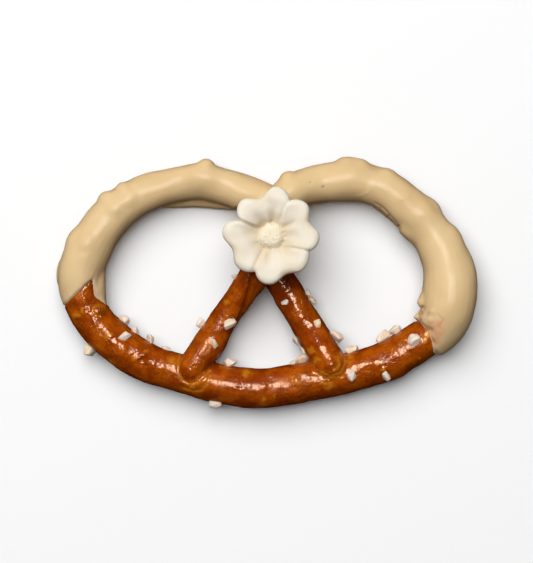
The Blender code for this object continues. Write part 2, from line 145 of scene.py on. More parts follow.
# Soft swellings of the chocolate over the salt beneath: x, y, spread and how far they stand out.
SWELLS = (
    (-9.4, 18.5, 0.85, 0.7), (-9.8, 17.4, 1.9, 0.5), (-22.9, 15, 0.9, 0.6), (-21.8, 13.4, 1, 0.25),
    (-25.6, 13.5, 1, 0.65), (-24, 12, 1, 0.25), (-31, 7.2, 1.2, 0.35), (-28.6, 6.4, 1, 0.2),
    (3.4, 16.8, 0.9, 0.6), (12.9, 19.2, 1.1, 0.5), (13.8, 18.6, 2, 0.4), (15.3, 18.9, 0.9, 0.35),
    (19.7, 17.5, 1, 0.35), (27.4, 12.6, 1.1, 0.35), (25.6, 11.4, 1, 0.15), (30.4, 7.9, 1.2, 0.3),
    (33.2, 2.6, 1.6, 0.25), (22.2, 7.5, 1.2, 0.5), (24.8, -2.9, 0.75, 0.5), (24.75, -3.6, 0.55, 0.35),
    (-14.6, 17.6, 1.2, 0.2), (22, 13.2, 0.9, 0.15), (-5.4, 16.6, 1.3, 0.2), (8, 17.6, 1.4, -0.15),
    (-18.6, 16.4, 1.6, -0.15), (-24.3, 14.6, 0.7, -0.12), (17.6, 18.2, 0.9, -0.15), (24.6, 14.6, 1.4, -0.15),
    (29.2, 10.4, 1.1, -0.15),
)

# Salt on the bare dough: x, y, length, width and the turn of the length in degrees.
SALT = (
    (-22.5, -6.1, 1.7, 1.3, -40), (-20.7, -7.7, 1.4, 1, -50), (-22.4, -8.8, 2.3, 1.4, 25),
    (-18.5, -9.2, 1.4, 1.3, 70), (-28, -11, 2, 1.7, 0), (-15.9, -10.8, 1.5, 0.8, -15),
    (-10.3, -6.7, 1.5, 1.3, 60), (-5.8, -6.6, 2.1, 1.7, 40), (-8.3, -9.8, 1.7, 1.1, -60),
    (-5.6, -12.7, 2.2, 1.4, -10), (-8, -19.4, 2.1, 1.6, -15), (-4.9, 0.8, 1.1, 1, 0),
    (3.1, -3.3, 1.2, 0.9, 10), (8.3, -6.8, 1.5, 1.3, -60), (7.1, -1.8, 1.2, 0.9, -50),
    (7.7, -3, 1.4, 0.9, -65), (11.4, -8.7, 2.1, 1.6, -60), (13.7, -10.5, 2.1, 1.3, 20),
    (18.5, -8.3, 2.3, 1.5, 50), (20.5, -7.6, 2.2, 1.4, 15), (23.5, -9.4, 2.3, 1.9, 65),
    (19.1, -15, 1.7, 1.3, -55), (13.6, -14.9, 2, 1.4, -75), (4.9, -9.6, 1.5, 0.9, -70),
    (6.1, -11, 1.3, 1.2, 0), (6.1, -12.4, 1.9, 1.6, 20), (4.6, -12.9, 1.4, 1, 10),
)
SALT_SUNK = 0.35
SALT_HEIGHT = 0.85  # of the smaller of its length and width
SALT_TILT = 0.25
SALT_CORNERS, SALT_SEED, TILT_SEED = 15, 40, 7
WORN_WIDTH, WORN_STEPS, FLAT_ANGLE = 0.17, 3, 14  # the angle, in degrees, below which faces are joined
WORN_GROWTH = 1.04  # a worn crystal fills less of its length and width than a sharp one

# Relief of the crust in plan. Domes: x, y, radius and height, below zero for a pit.
CRUST_DOMES = (
    (-26.4, -4.5, 1, 0.32), (-25.3, -4.6, 0.4, -0.2), (-30, -3, 0.8, 0.1), (-30.2, -5.4, 0.7, 0.12),
    (-19.3, -11.7, 0.75, 0.3), (-19.6, -12.4, 0.35, -0.3), (-20.6, -12.3, 0.5, 0.15),
    (10.3, -13.1, 1.1, 0.2), (11, -10.8, 0.35, 0.2), (24.4, -12.3, 0.45, 0.15), (-0.2, -18.8, 0.5, 0.15),
    (18.7, -13.9, 0.45, 0.2), (10.2, -16.5, 1, 0.12), (4.9, -15.8, 0.9, 0.15), (-24.7, -8.7, 0.9, 0.12),
    (-6.2, -3.3, 0.5, 0.15), (-9.5, -9.5, 0.4, 0.1), (-11.7, -16.5, 1, 0.1), (-18, -12.9, 0.8, 0.12),
    (7.1, -11.8, 0.4, 0.12), (-22.8, -10.4, 1.2, 0.15), (-5, -1.5, 0.5, 0.1), (-3.2, -14.5, 0.8, 0.1),
    (25.4, -9.2, 0.5, 0.2), (-27.9, -5.9, 0.7, -0.1), (-16.1, -13.4, 0.9, 0.1), (16.6, -13, 0.8, 0.1),
)
# Creases: the points they run through, their half width and depth.
CRUST_CREASES = (
    (((-2.1, 1.1), (-2.5, -0.9), (-3.1, -3.2), (-4.1, -6.2)), 0.3, 0.4),
    (((-13.8, -11.8), (-13.9, -14.2), (-13.2, -15.6), (-12.1, -16.2), (-10.8, -15.9), (-8.9, -14.2)),
     0.18, 0.2),
    (((-12.9, -16.9), (-11.4, -17.4), (-10.2, -17.2), (-9.2, -16.1), (-8.9, -15)), 0.18, 0.1),
    (((13.4, -11.2), (13.4, -13.2)), 0.16, 0.2),
    (((12, -11.4), (12.6, -12.8), (11.9, -14.3), (10.3, -14.9), (8.9, -14.2)), 0.16, 0.16),
    (((7.6, -14.6), (9.4, -15.2), (12.2, -15)), 0.2, 0.1),
    (((11.4, -12), (11.6, -13.2), (10.8, -13.9)), 0.12, 0.1),
    (((-25.6, -4.6), (-25.9, -3.9), (-26.6, -3.7), (-27.3, -4.1), (-27.4, -4.8), (-27, -5.4), (-26.3, -5.5)),
     0.15, 0.14),
)
FURROW_COUNT = 1  # the first crease is a furrow between two strands, darkened with painted shade; the others are pale
CREASE_TINT = 0.3  # half width of the colour along a crease

# Blisters paler than the crust around them: x, y and radius.
PALE_SPOTS = (
    (-24.6, -12.9, 0.5), (-20.9, -12.4, 0.45), (-30.2, -5.4, 0.6), (-6.2, -3.3, 0.4), (-9.5, -9.5, 0.4),
    (-0.2, -18.8, 0.4), (-3.2, -14.4, 0.7), (10.2, -16.5, 0.75), (9, -16, 0.5), (4.1, -15, 0.2),
    (7.3, -11, 0.6), (8, -12.6, 0.5), (24.4, -12.3, 0.3), (18.6, -14, 0.35), (25.2, -9.4, 0.4),
    (-11.7, -16.9, 0.5), (-14.9, -12.6, 0.5), (4.9, -15.9, 0.5), (13.6, -12.2, 0.4), (-24.9, -8.5, 0.6),
    (-18.9, -11.2, 0.4), (-7, -12.9, 0.5), (1.5, -18.2, 0.3), (-29.2, -4.4, 0.3), (21.6, -6.9, 0.4),
)
# Where the skin is blistered, where its gloss is spread wider, where painted shade darkens it (in pits,
# beside blisters and where the legs meet the flower) and where it split beside a grain, each as x, y and
# radius.
BLISTERED = (
    (-28.4, -2.6, 1.6), (-28.2, -4.6, 1.3), (-26.5, -4.6, 1.1), (-22.8, -10.6, 1), (-20.2, -11.8, 1.4),
    (-17.4, -13.3, 1.2), (-11, -12.9, 1.3), (-2.6, 0.6, 1.2), (3.4, -0.8, 1), (10.5, -12.9, 1.3),
    (-6.8, -6.8, 0.7), (9.6, -15.7, 1.2), (-4, -16.4, 1), (0.5, -16.6, 0.8),
)
DULLER = ((-6, -16.6, 4), (-1, -17, 4.5), (4, -16.7, 4), (-9.6, -11.2, 2.8), (-6.9, -6.4, 2.6))
# Spots of painted shade: in pits, on the shaded side of blisters and where the legs meet the flower.
SHADE_SPOTS = (
    (-26, -5.2, 0.5), (-25.3, -4.6, 0.4), (-19.5, -12.1, 0.45), (-30.6, -3.4, 0.7), (-8.6, -13.6, 0.8),
    (-3, 0.6, 1), (3.4, 0, 0.9), (6.6, -14.6, 0.6), (13.5, -12.4, 0.35), (-14, -13.4, 0.4),
)
BROKEN_CRUST = ((25.8, -7.9, 0.45), (25.55, -8.4, 0.4), (25.2, -9, 0.28), (25.05, -9.6, 0.2))

# Chocolate relief, the same two ways: pits, a scar, fine creases and the ragged right edge.
COAT_DOMES = (
    (7.1, 15.7, 0.16, -0.22), (9.15, 14.95, 0.2, -0.24), (19.4, 14.8, 0.14, -0.1), (21.7, 13, 0.45, 0.14),
    (22.6, 13.4, 0.3, 0.1), (24.9, -4.2, 0.35, -0.2), (24.6, -5, 0.35, -0.2), (26.4, -4.7, 0.5, 0.14),
    (26, -6.1, 0.45, 0.16), (27.4, -7.2, 0.6, -0.08), (27, -9, 0.7, -0.06), (25.6, -5.4, 0.4, -0.12),
    (-27.2, 10.1, 0.12, -0.06), (-20.8, 14.2, 0.1, -0.05),
)
DEEP_PIT = -0.2  # pits deeper than this get painted shade inside
COAT_CREASES = (
    (((19.6, 17.7), (17.5, 15.8), (16.4, 14.2), (14.6, 13.4)), 0.14, -0.05),
    (((-5.5, 16.4), (-4.2, 16.8)), 0.14, -0.05),
    (((27.1, -5.3), (27.9, -6.1), (27.7, -6.9)), 0.16, 0.1),
    (((26.1, -4.6), (25.6, -5.8), (25.1, -6.6)), 0.2, -0.12),
    (((-23.9, 12.6), (-22.6, 11.9), (-21.6, 11.3)), 0.12, 0.04),
    (((17.5, 12.4), (18.6, 11.7), (19.7, 10.6), (20.9, 9.3), (21.6, 8.5)), 0.14, 0.14),
)

# Where the chocolate is thin and the crust shows through, and where it shows bare: x, y and radius.
THIN_COAT = (
    (27.3, -7, 0.85), (27, -8.1, 0.65), (27, -9.2, 0.5), (26.2, -6.6, 0.4), (27.7, -6.2, 0.4),
)
BARE_COAT = (
    (-4.6, 11.7, 0.35), (24.9, -3.95, 0.18), (24.55, -5.15, 0.16), (18.3, 11.8, 0.13), (19.6, 10.6, 0.16),
    (21.2, 8.95, 0.2),
)
RIM_WIDTH = 0.5  # of the paler chocolate along its edge

# Sugar flower: where its middle is in plan, and how high its underside.
FLOWER_PLAN = (0.9, 7.1)
FLOWER_BASE = 8.4
# Each petal's edges in degrees, its two lobes' radii, and the radius between them.
PETALS = (
    (-22, 62, 7.5, 7.35, 6.3), (62, 154, 7.9, 6.9, 6.1), (154, 246, 7.8, 6.9, 6.4),
    (246, 338, 7.7, 7, 6.4),
)
NOTCHES = (6.3, 6.1, 5.2, 6.0)  # radius where each petal starts
BUTTON_RADIUS, BUTTON_HEIGHT, BUTTON_EDGE = 1.75, 3.32, 0.19
WELL_RADIUS, WELL_HEIGHT = 2.1, 2.9
CREST_SHARE, CREST_HEIGHT = 0.87, 3.85
EDGE_DROP, PETAL_THICKNESS, FLOWER_FOOT = 0.55, 0.95, 2.8
FLOWER_COLUMNS = 540
# Rows of the face, as shares of the outline's radius, and of the underside: share of the rim's thickness
# passed, and share of the radius.
FACE_ROWS = ((0.02, 0.4, 34), (0.42, 0.9, 30), (0.915, 1.0, 8))
UNDERSIDE = ((0.35, 1.008), (0.7, 1.0), (0.95, 0.97), (1.0, 0.92), (1.0, 0.75), (0.97, 0.6))
# Furrows of the petals, fading outwards: both ends as degrees and radius, half width and depth.
FURROWS = (
    ((126, 2), (127, 4.8), 0.7, 0.6), ((84, 1.9), (86, 4.8), 0.6, 0.65), ((60, 2), (62, 5), 0.4, 0.3),
    ((38, 2), (29, 5), 0.5, 0.5), ((36, 2.6), (30, 4.4), 0.16, 0.14), ((4, 1.9), (4, 4.6), 0.7, 0.3),
    ((-25, 2.2), (-22, 6.2), 0.55, 0.35), ((-42, 2.4), (-43, 6), 0.6, 0.4),
    ((-60, 2.2), (-62, 4.8), 0.35, 0.3), ((-79, 2.1), (-77, 4.2), 0.3, 0.2),
    ((261, 1.9), (260, 5.2), 0.45, 0.55), ((243, 2.2), (244, 6.6), 0.5, 0.45),
    ((229, 2.1), (232, 4), 0.6, 0.35), ((208, 2), (206, 4.4), 0.6, 0.3), ((166, 1.9), (171, 4.8), 0.9, 0.7),
    ((149, 2.2), (152, 6), 0.4, 0.35), ((201, 6.9), (202, 3.8), 0.9, 0.3), ((105, 6.9), (105, 4), 0.9, 0.3),
    ((20, 6.6), (20, 4.4), 0.9, 0.25), ((297, 6.9), (297, 4), 0.9, 0.3),
)
FURROW_DEPTH = 0.75  # of the depth in the table
SEAM_SOFTNESS, SEAM_FADE = 0.1, 1.3
# Seams where one petal lies over the next: the higher side is anticlockwise where the step is above zero.
SEAMS = (
    (((59, 2.6), (60, 3.9), (63, 4.8), (61, 6.4)), -0.15),
    (((148, 2.6), (151, 4.2), (152, 5.6)), -0.4),
    (((242, 2.4), (244, 4.8), (245, 6.2)), 0.18),
    (((-45, 2.3), (-31, 3), (-25, 3.9), (-21, 5.3), (-21, 6.6)), 0.14),
)

# The photo: millimetres for each pixel and its rows. The camera is this high, in metres, and the scale
# holds at the rope's height.
PIXEL, IMAGE_ROWS = 0.16, 563
CAMERA_HEIGHT, SCALE_HEIGHT = 0.303, 0.003
SENSOR = 36.0
FLOOR_GAP = 0.05


def new_object(name, data, group=None):
    obj = bpy.data.objects.new(name, data)
    (group or bpy.context.scene.collection).objects.link(obj)
    return obj


def evaluated_mesh(obj):
    graph = bpy.context.evaluated_depsgraph_get()
    return bpy.data.meshes.new_from_object(obj.evaluated_get(graph), depsgraph=graph)


def apply_modifiers(obj):
    obj.data = evaluated_mesh(obj)
    obj.modifiers.clear()


def mesh_from_bmesh(name, shape):
    mesh = bpy.data.meshes.new(name)
    shape.to_mesh(mesh)
    shape.free()
    return mesh


def vectors(mesh, key):
    """A vector of each vertex, as rows."""
    flat = np.empty(len(mesh.vertices) * 3)
    mesh.vertices.foreach_get(key, flat)
    return flat.reshape(-1, 3)


def positions(mesh):
    """The mesh's vertices in millimetres."""
    return vectors(mesh, "co") / MM


def set_positions(mesh, points):
    mesh.vertices.foreach_set("co", (points * MM).ravel())
    mesh.update()


def set_attributes(mesh, **attributes):
    for name, values in attributes.items():
        attribute = mesh.attributes.new(name, "FLOAT", "POINT")
        attribute.data.foreach_set("value", values.astype(np.float32))


def rest_height(x, y, radius):
    coated = y > COATED_ABOVE and abs(x) > COATED_BESIDE
    return (COATED_REST_SHARE if coated else REST_SHARE) * radius


def lying(stations):
    return [(x, y, rest_height(x, y, r), r) for x, y, r in stations]


def raised(stations, heights):
    return [(x, y, z, r) for (x, y, r), z in zip(stations, heights)]


def twist(side):
    """Half a turn of one strand between the two crossings. Side 1 lies on top at the lower crossing."""
    axis = UPPER_CROSSING - LOWER_CROSSING
    across = Vector((axis.y, -axis.x)).normalized()
    stations = []
    for turn in (0.0, 0.5, 1.0):
        plan = LOWER_CROSSING + axis * turn + across * side * TWIST_BULGE * math.sin(math.pi * turn)
        middle = (TWIST_HIGH + TWIST_LOW) / 2
        height = middle + side * (TWIST_HIGH - TWIST_LOW) / 2 * math.cos(math.pi * turn)
        stations.append((plan.x, plan.y, height, TWIST_RADIUS))
    return stations


def smooth_course(stations):
    """Points every COURSE_STEP along a smooth curve through the stations, as x, y, z and radius."""
    knots = np.array(stations)
    padded = np.vstack([2 * knots[0] - knots[1], knots, 2 * knots[-1] - knots[-2]])
    points = []
    for i in range(1, len(padded) - 2):
        before, start, end, after = padded[i - 1 : i + 3]
        steps = max(1, round(float(np.linalg.norm(end[:3] - start[:3])) / COURSE_STEP))
        for k in range(steps):
            t = k / steps
            points.append(0.5 * (
                2 * start + (end - before) * t + (2 * before - 5 * start + 4 * end - after) * t**2
                + (3 * start - before - 3 * end + after) * t**3
            ))
    points.append(knots[-1])
    return np.array(points)


def left_dip():
    """The left loop as the chocolate covers it: a little wider towards its lower end."""
    wider = ((-28.4, 4.8, 3.65), (-29.6, 1.4, 3.6), (-29.4, -2.4, 3.25), (-27.4, -6.2, 3.2))
    return twist(1) + lying(LEFT_ARC[:-2] + wider)


def right_dip():
    """The right loop as the chocolate covers it, down to the drop at its end."""
    drop = ((28.7, -5.3, 4.25), (27.4, -7.6, 3.9), (25.8, -9.35, 3.35), (23.2, -10.9, 3.25))
    settled = RIGHT_ARC[len(SETTLING_HEIGHTS) : -1]
    return twist(-1) + raised(RIGHT_ARC, SETTLING_HEIGHTS) + lying(settled + drop)


def base_stations():
    """The bare base arc, with its ends running on a little under the chocolate."""
    right_end = ((28.0, -6.2, 3.6), (29.0, -3.6, 3.8))
    return lying(((-29.2, 2.4, 3.35),) + LEFT_BASE + RIGHT_BASE[::-1] + right_end)


def bare_courses():
    """The middle lines of the base arc and of both legs."""
    left_strand = raised(LEFT_LEG, LEFT_LEG_HEIGHTS) + twist(1)[:2]
    right_strand = raised(RIGHT_LEG, RIGHT_LEG_HEIGHTS) + twist(-1)[:2]
    return [smooth_course(stations) for stations in (base_stations(), left_strand, right_strand)]


def add_rod(shape, course):
    """A rod along the course with a ball at each end."""
    curve = bpy.data.curves.new("rod", "CURVE")
    curve.dimensions = "3D"
    curve.bevel_depth = MM
    curve.bevel_resolution = ROD_STEPS
    curve.use_fill_caps = True
    spline = curve.splines.new("POLY")
    spline.points.add(len(course) - 1)
    for point, (x, y, z, radius) in zip(spline.points, course):
        point.co = (x * MM, y * MM, z * MM, 1.0)
        point.radius = radius
    holder = new_object("rod", curve)
    rod = bmesh.new()
    rod.from_mesh(evaluated_mesh(holder))
    bpy.data.objects.remove(holder)
    bmesh.ops.remove_doubles(rod, verts=rod.verts, dist=1e-6)
    for x, y, z, radius in (course[0], course[-1]):
        add_ball(rod, (x, y, z), radius)
    shape.from_mesh(mesh_from_bmesh("rod", rod))


def add_ball(shape, centre, radius, flatten=1.0):
    place = Matrix.Translation(Vector(centre) * MM) @ Matrix.Diagonal((1, 1, flatten, 1))
    rings = {"u_segments": BALL_SEGMENTS, "v_segments": BALL_RINGS}
    bmesh.ops.create_uvsphere(shape, radius=radius * MM, matrix=place, **rings)


def fuse(name, courses, voxel, smoothing, balls=()):
    """One fine skin over rods along the courses, with the creases between them filled a little."""
    shape = bmesh.new()
    for course in courses:
        add_rod(shape, course)
    for ball in balls:
        add_ball(shape, *ball)
    fused = new_object(name, mesh_from_bmesh(name, shape))
    remesh = fused.modifiers.new("skin", "REMESH")
    remesh.mode = "VOXEL"
    remesh.voxel_size = voxel * MM
    smooth = fused.modifiers.new("soften", "SMOOTH")
    smooth.factor = 0.5
    smooth.iterations = smoothing
    apply_modifiers(fused)
    return fused


def lift(mesh, points, out, height):
    """Moves the skin outwards by that height, but not below the table."""
    points += out * height[:, None]
    points[:, 2] = np.maximum(points[:, 2], 0.0)
    set_positions(mesh, points)


def segment_distance(points, start, end):
    """Distance of each plan point from a segment, and how far along the segment the nearest place is."""
    start, end = np.array(start, float), np.array(end, float)
    along = end - start
    t = np.clip((points - start) @ along / (along @ along), 0.0, 1.0)
    return np.linalg.norm(points - start - t[:, None] * along, axis=1), t


def polyline_distance(points, line):
    return np.min([segment_distance(points, a, b)[0] for a, b in zip(line, line[1:])], axis=0)


def inside_dip(points):
    """Signed plan distance from the chocolate's edge: above zero where the rope is coated."""
    outline = DIP_EDGE + DIPPED_CORNERS
    inside = np.zeros(len(points), bool)
    x, y = points[:, 0], points[:, 1]
    for (ax, ay), (bx, by) in zip(outline, outline[1:] + outline[:1]):
        crosses = (ay > y) != (by > y)
        inside ^= crosses & (x < (bx - ax) * (y - ay) / ((by - ay) or 1e-9) + ax)
    return polyline_distance(points, DIP_EDGE) * np.where(inside, 1.0, -1.0)


def waves(points, wavelength, seed):
    """A smooth random field, mostly between -1 and 1: sine waves in random directions."""
    draw = np.random.default_rng(seed)
    total = np.zeros(len(points))
    for _ in range(WAVE_COUNT):
        direction = draw.normal(size=3)
        direction *= 2 * math.pi / wavelength * draw.uniform(0.6, 1.5) / np.linalg.norm(direction)
        total += np.sin(points @ direction + draw.uniform(0, 2 * math.pi))
    return total / 4


def layered_waves(points, layers):
    return sum(height * waves(points, wavelength, seed) for height, wavelength, seed in layers)


def facing_up(out, gain=2, start=0.6):
    """1 where the skin faces up, fading to 0 on its sides."""
    return np.clip(out[:, 2] * gain + start, 0, 1)


def plan_relief(points, out, domes, creases):
    """Height of the listed domes and creases on the upper side."""
    plan = points[:, :2]
    height = np.zeros(len(points))
    for x, y, radius, rise in domes:
        away = np.linalg.norm(plan - (x, y), axis=1) / radius
        height += rise * np.exp(-(away**2) * 1.5)
    for line, half_width, depth in creases:
        height -= depth * np.exp(-((polyline_distance(plan, line) / half_width) ** 2))
    return height * facing_up(out)


def spots(points, table, sharpness=4):
    """A mask that is 1 in the middle of each round spot of the table and fades to its edge."""
    mask = np.zeros(len(points))
    for x, y, radius in table:
        away = np.linalg.norm(points[:, :2] - (x, y), axis=1) / radius
        mask = np.maximum(mask, np.exp(-(away**sharpness)))
    return mask


def strayed(points, seed):
    """The points shifted a little in plan, so that a round spot read at them comes out irregular."""
    across, along = (waves(points, STRAY_LENGTH, s) for s in (seed, seed + 1))
    return points + STRAY * np.stack([across, along, np.zeros(len(points))], 1)


def rope_coordinates(points, courses):
    """How far along its strand each point lies, in millimetres, and its turn round the strand, -1 to 1."""
    best = np.full(len(points), 1e9)
    along, around = np.zeros(len(points)), np.zeros(len(points))
    offset = 0.0
    for course in courses:
        steps = np.linalg.norm(np.diff(course[:, :3], axis=0), axis=1)
        length = np.concatenate([[0], np.cumsum(steps)])
        tangent = np.gradient(course[:, :3], axis=0)
        tangent /= np.linalg.norm(tangent, axis=1)[:, None]
        side = np.cross(tangent, (0, 0, 1))
        side /= np.linalg.norm(side, axis=1)[:, None]
        up = np.cross(side, tangent)
        for i in range(len(course)):
            away = points - course[i, :3]
            share = np.linalg.norm(away, axis=1) / course[i, 3]
            nearer = share < best
            best[nearer] = share[nearer]
            along[nearer] = offset + length[i] + away[nearer] @ tangent[i]
            around[nearer] = np.arctan2(away[nearer] @ side[i], away[nearer] @ up[i]) / math.pi
        offset += length[-1] + STRAND_GAP
    return along, around


def make_crust():
    """The baked rope where it is bare: its base arc and its two legs up to the flower."""
    courses = bare_courses()
    crust = fuse("crust", courses, CRUST_VOXEL, CRUST_SMOOTHING)
    mesh = crust.data
    points, out = positions(mesh), vectors(mesh, "normal")
    along, around = rope_coordinates(points, courses)
    height = layered_waves(points, CRUST_WAVES) + plan_relief(points, out, CRUST_DOMES, CRUST_CREASES)
    strand = np.stack([along * 0.25, np.cos(around * math.pi) * 3, np.sin(around * math.pi) * 3], 1)
    height += layered_waves(strand, STRAND_WAVES)
    height -= COATED_SINK * np.clip(inside_dip(points[:, :2]) / COATED_FADE + 0.5, 0, 1)
    lift(mesh, points, out, height)
    astray, upper = strayed(points, CRUST_SEED), facing_up(out)
    masks = {
        "pale": crease_tint(points, CRUST_CREASES[FURROW_COUNT:], 0.8, spots(astray, PALE_SPOTS)),
        # painted shade: the furrow between the strands and the shade spots
        "painted_shade": crease_tint(points, CRUST_CREASES[:FURROW_COUNT], 1.0, 0.7 * spots(astray, SHADE_SPOTS)),
        "broken": spots(astray, BROKEN_CRUST),
        "blistered": spots(points, BLISTERED, 2),
    }
    set_attributes(mesh, **{name: mask * upper for name, mask in masks.items()})
    set_attributes(mesh, along=along, around=around, height=points[:, 2], dull=spots(points, DULLER))
    return crust


def crease_tint(points, creases, strength, mask):
    """The mask with the creases drawn into it as soft lines."""
    for line, _, _ in creases:
        away = polyline_distance(points[:, :2], line) / CREASE_TINT
        mask = np.maximum(mask, strength * np.exp(-(away**2)))
    return mask


def perch(x, y, courses, size):
    """Where a grain of that size sits: on the skin that is highest over x and y, or else nearest."""
    course = np.vstack(courses)
    gaps = np.linalg.norm(course[:, :2] - np.array((x, y)), axis=1)
    reach = np.sqrt(np.maximum(course[:, 3] ** 2 - gaps**2, 0.0))
    beside = gaps - course[:, 3]
    best = int(np.argmax(np.where(beside < 0, course[:, 2] + reach, -beside)))
    middle = Vector(course[best][:3])
    radius, gap, rise = (float(values[best]) for values in (course[:, 3], gaps, reach))
    outward = (Vector((x, y)) - middle.xy).normalized()
    half_size = math.hypot(size[0] * outward.x, size[1] * outward.y) / 2
    plan = Vector((x, y)) + outward * min(0.0, radius + half_size - SALT_SUNK - gap)
    return Vector((*plan, middle.z + max(rise * 0.97, 0.1 * radius)))


def worn_crystal(index, group):
    """One coarse crystal, 1 m long, wide and high: a hull of a few corners with its edges worn round."""
    draw = random.Random(SALT_SEED + index)
    hull = bmesh.new()
    for _ in range(SALT_CORNERS):
        corner = Vector((draw.gauss(0, 1), draw.gauss(0, 1), draw.gauss(0, 1))).normalized()
        corner *= draw.uniform(0.9, 1.0) / max(abs(corner.x), abs(corner.y), abs(corner.z)) ** 0.6
        hull.verts.new(corner)
    made = bmesh.ops.convex_hull(hull, input=hull.verts)
    inner = [v for v in made["geom_interior"] if isinstance(v, bmesh.types.BMVert)]
    bmesh.ops.delete(hull, geom=inner, context="VERTS")
    bmesh.ops.dissolve_limit(hull, angle_limit=math.radians(FLAT_ANGLE), verts=hull.verts, edges=hull.edges)
    crystal = new_object("crystal", mesh_from_bmesh("crystal", hull), group)
    worn = crystal.modifiers.new("worn", "BEVEL")
    worn.width, worn.segments, worn.limit_method = WORN_WIDTH, WORN_STEPS, "NONE"
    finer = crystal.modifiers.new("finer", "SUBSURF")
    finer.levels = finer.render_levels = 1
    apply_modifiers(crystal)
    points = vectors(crystal.data, "co")
    points = points * (1 + 0.02 * waves(points, 1.4, index)[:, None])
    low, high = points.min(0), points.max(0)
    points = (points - (low + high) / 2) / (high - low)
    crystal.data.vertices.foreach_set("co", points.ravel())
    return crystal


def add_sockets(tree, side, kinds):
    """Gives the tree its inputs or outputs, by name and kind, and returns their identifiers."""
    identifiers = {}
    for name, kind in kinds.items():
        socket = tree.interface.new_socket(name, in_out=side, socket_type="NodeSocket" + kind)
        identifiers[name] = socket.identifier
    return identifiers


def salt_tree():
    """Geometry Nodes: each point carries one of the crystals, at its own size and turn."""
    tree = bpy.data.node_groups.new("coarse_salt_on_points", "GeometryNodeTree")
    kinds = {"Geometry": "Geometry", "Crystals": "Collection", "Salt Size": "Float", "Finish": "Material"}
    identifiers = add_sockets(tree, "INPUT", kinds)
    add_sockets(tree, "OUTPUT", {"Geometry": "Geometry"})
    nodes = Nodes(tree)
    given, result = nodes.ends()
    source = {"Collection": given["Crystals"], "Separate Children": True, "Reset Children": True}
    crystals = nodes.add("GeometryNodeCollectionInfo", source)
    size, turn = (
        nodes.add("GeometryNodeInputNamedAttribute", {"Name": label}, data_type="FLOAT_VECTOR")
        for label in ("size", "turn")
    )
    scale = {0: size.outputs["Attribute"], "Scale": given["Salt Size"]}
    place = nodes.add("GeometryNodeInstanceOnPoints", {
        "Points": given["Geometry"], "Instance": crystals.outputs[0], "Pick Instance": True,
        "Scale": nodes.add("ShaderNodeVectorMath", scale, operation="SCALE").outputs[0],
        "Rotation": turn.outputs["Attribute"],
    })
    real = nodes.add("GeometryNodeRealizeInstances", {0: place.outputs[0]})
    finish = nodes.add("GeometryNodeSetMaterial", {"Geometry": real.outputs[0], "Material": given["Finish"]})
    nodes.fill(result, {0: finish.outputs[0]})
    return tree, identifiers


def make_salt(finish):
    """The coarse salt on the bare dough, one worn crystal for each place in the table."""
    courses = bare_courses()
    crystals = bpy.data.collections.new("crystals")
    bpy.context.scene.collection.children.link(crystals)
    for index in range(len(SALT)):
        worn_crystal(index, crystals)
    draw = random.Random(TILT_SEED)
    mesh = bpy.data.meshes.new("salt_places")
    places, sizes, turns = [], [], []
    for x, y, length, width, turn in SALT:
        places.append(perch(x, y, courses, (length, width)) * MM)
        sizes.append((length, width, SALT_HEIGHT * min(length, width)))
        tilts = [draw.uniform(-SALT_TILT, SALT_TILT) for _ in range(2)]
        turns.append((*tilts, math.radians(turn)))
    mesh.from_pydata(places, [], [])
    for label, values in (("size", sizes), ("turn", turns)):
        stored = mesh.attributes.new(label, "FLOAT_VECTOR", "POINT")
        stored.data.foreach_set("vector", np.array(values, dtype=np.float32).ravel())
    salt = new_object("salt", mesh)
    scatter = salt.modifiers.new("salt", "NODES")
    scatter.node_group, identifiers = salt_tree()
    scatter[identifiers["Crystals"]] = crystals
    scatter[identifiers["Salt Size"]] = MM * WORN_GROWTH
    scatter[identifiers["Finish"]] = finish
    apply_modifiers(salt)
    for crystal in list(crystals.objects):
        bpy.data.objects.remove(crystal)
    return salt


